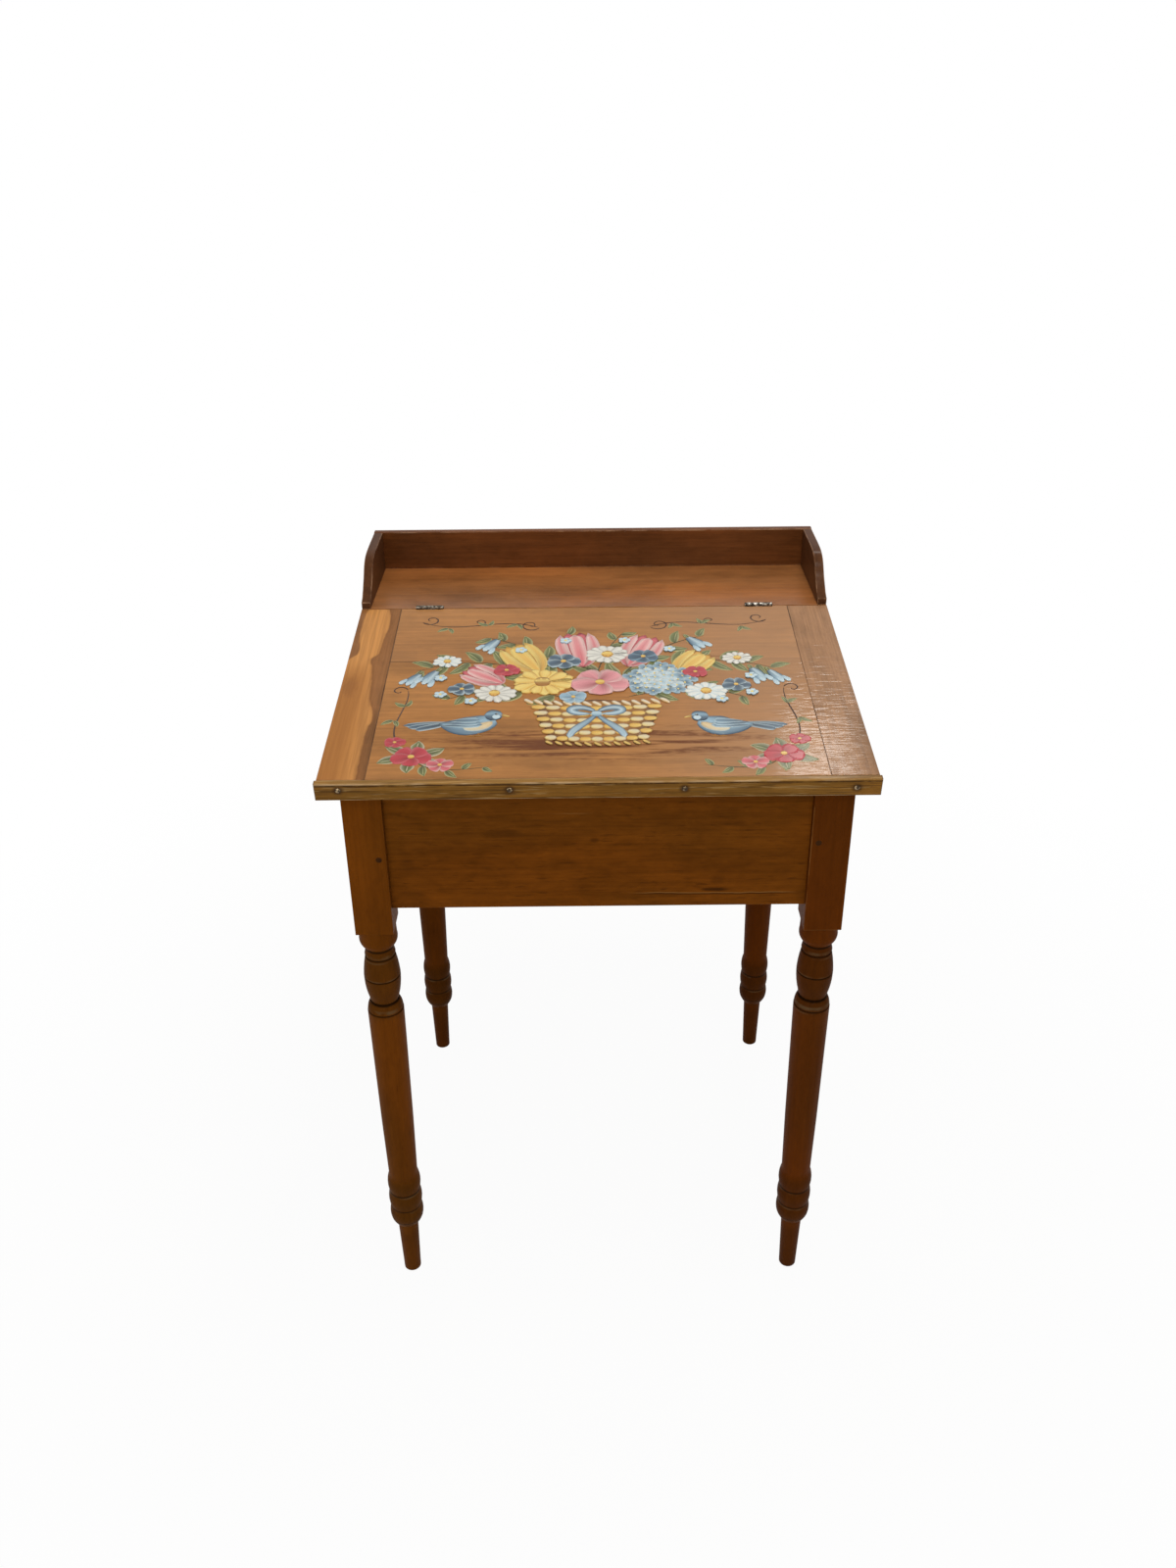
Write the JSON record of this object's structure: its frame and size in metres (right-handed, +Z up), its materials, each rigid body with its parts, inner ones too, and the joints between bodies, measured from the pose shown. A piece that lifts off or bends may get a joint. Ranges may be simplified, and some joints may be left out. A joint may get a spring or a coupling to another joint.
{
  "type": "slant-lid sewing desk",
  "caption": "Small wooden sewing desk: hinged slanting lid over a shallow storage well, a shelf with a low gallery behind, and turned legs.",
  "frame": {"origin": "on the floor, under the middle of the desk's overall width and depth", "axes": "+Z up, +X to the right as seen from the front, +Y from the front edge of the lid to the gallery at the back"},
  "size_m": [0.61, 0.5463, 0.8995],
  "materials": {
    "leg_wood": "dark brown stain, satin varnish",
    "case_wood": "warm brown stain, satin varnish",
    "shelf_wood": "reddish brown stain, satin varnish",
    "inside_wood": "bare, aged",
    "peg_wood": "end grain, stained with the posts",
    "lid_wood": "honey brown stain, glossy varnish",
    "strip_wood": "olive brown stain, satin varnish",
    "nail_steel": "dull, aged",
    "hinge_steel": "worn, slightly tarnished"
  },
  "bodies": {
    "case": {"leg_front_left": "leg_wood", "leg_front_right": "leg_wood", "leg_back_left": "leg_wood", "leg_back_right": "leg_wood", "apron_front": "case_wood", "apron_back": "case_wood", "apron_left": "case_wood", "apron_right": "case_wood", "tenon_pegs": "peg_wood", "cleat_front": "inside_wood", "cleat_back": "inside_wood", "cleat_left": "inside_wood", "cleat_right": "inside_wood", "bottom_board_front": "inside_wood", "bottom_board_back": "inside_wood", "shelf_glue_blocks": "inside_wood", "shelf": "shelf_wood", "gallery_end_left": "shelf_wood", "gallery_end_right": "shelf_wood", "gallery_back": "shelf_wood", "gallery_screws": "nail_steel", "gallery_nails": "nail_steel", "hinge_leaf_shelf_left": "hinge_steel", "hinge_leaf_shelf_right": "hinge_steel", "hinge_pin_left": "hinge_steel", "hinge_pin_right": "hinge_steel", "hinge_screws_shelf": "hinge_steel"},
    "lid": {"lid_board_front": "lid_wood", "lid_board_back": "lid_wood", "lid_stile_left": "lid_wood", "lid_stile_right": "lid_wood", "lid_front_strip": "strip_wood", "lid_strip_nails": "nail_steel", "hinge_leaf_lid_left": "hinge_steel", "hinge_leaf_lid_right": "hinge_steel", "hinge_screws_lid": "hinge_steel"}
  },
  "joints": [
    {"name": "lid_hinge", "type": "hinge", "parent": "case", "child": "lid", "pos_m": [0, 0.10945, 0.8488], "axis": [-1, 0, 0], "range_deg": [0, 115]}
  ]
}
